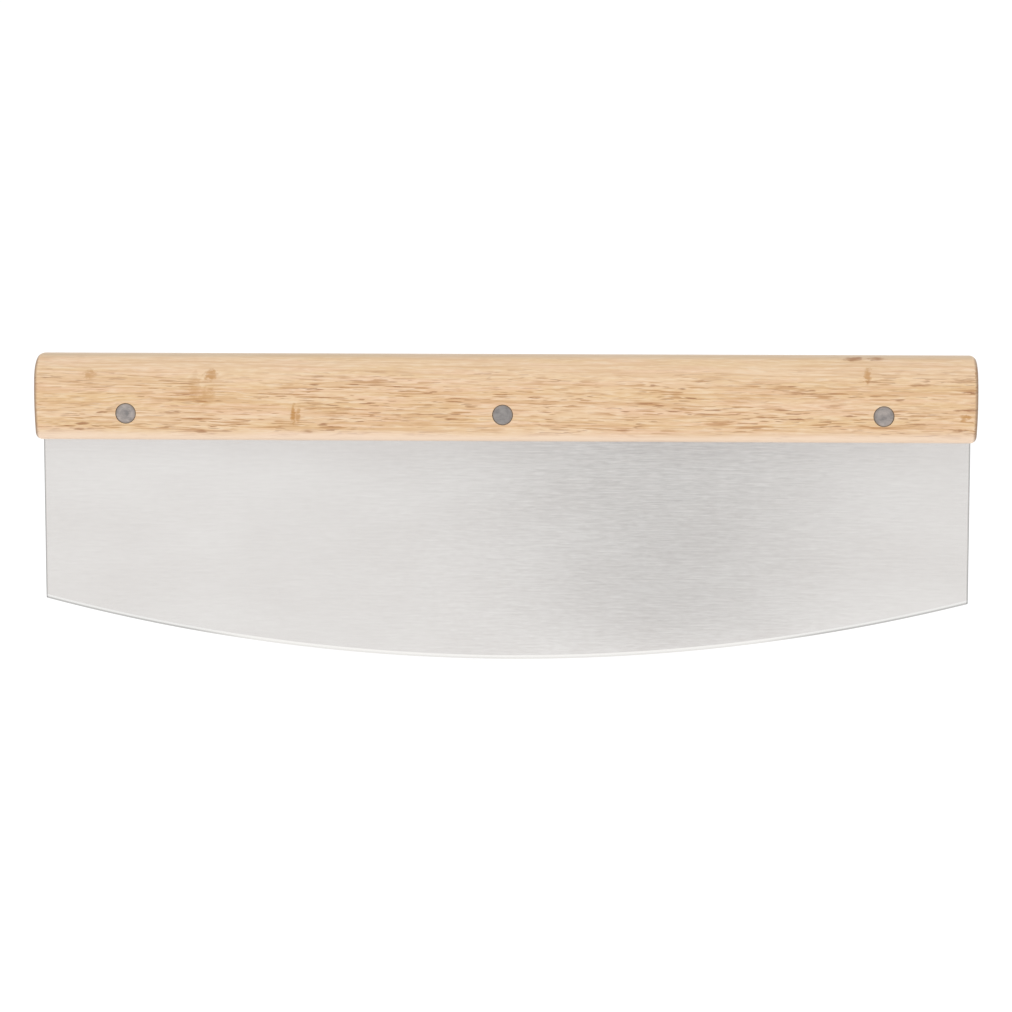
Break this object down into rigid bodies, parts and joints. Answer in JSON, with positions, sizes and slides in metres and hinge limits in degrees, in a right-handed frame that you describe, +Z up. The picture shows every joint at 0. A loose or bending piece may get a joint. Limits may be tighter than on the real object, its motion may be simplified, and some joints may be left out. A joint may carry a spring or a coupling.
{
  "type": "rocking pizza knife",
  "caption": "Two-handed rocking pizza knife: a wide curved stainless sheet blade riveted into a slot along a rounded wooden bar handle.",
  "frame": {"origin": "the lowest point of the cutting edge, at mid length, on the middle plane of the sheet", "axes": "+Z up from the cutting edge to the back of the handle, +X along the length, the front face of the handle at -Y"},
  "size_m": [0.354, 0.02, 0.116],
  "materials": {
    "blade_steel": "stainless sheet, finely brushed along its length, with a bright ground bevel",
    "handle_wood": "pale fine-grained hardwood, sanded, thin satin oil",
    "rivet_steel": "grey ground steel"
  },
  "bodies": {
    "root": {"blade": "blade_steel", "handle": "handle_wood", "rivet_left_tube": "rivet_steel", "rivet_left_post": "rivet_steel", "rivet_middle_tube": "rivet_steel", "rivet_middle_post": "rivet_steel", "rivet_right_tube": "rivet_steel", "rivet_right_post": "rivet_steel"}
  },
  "joints": []
}
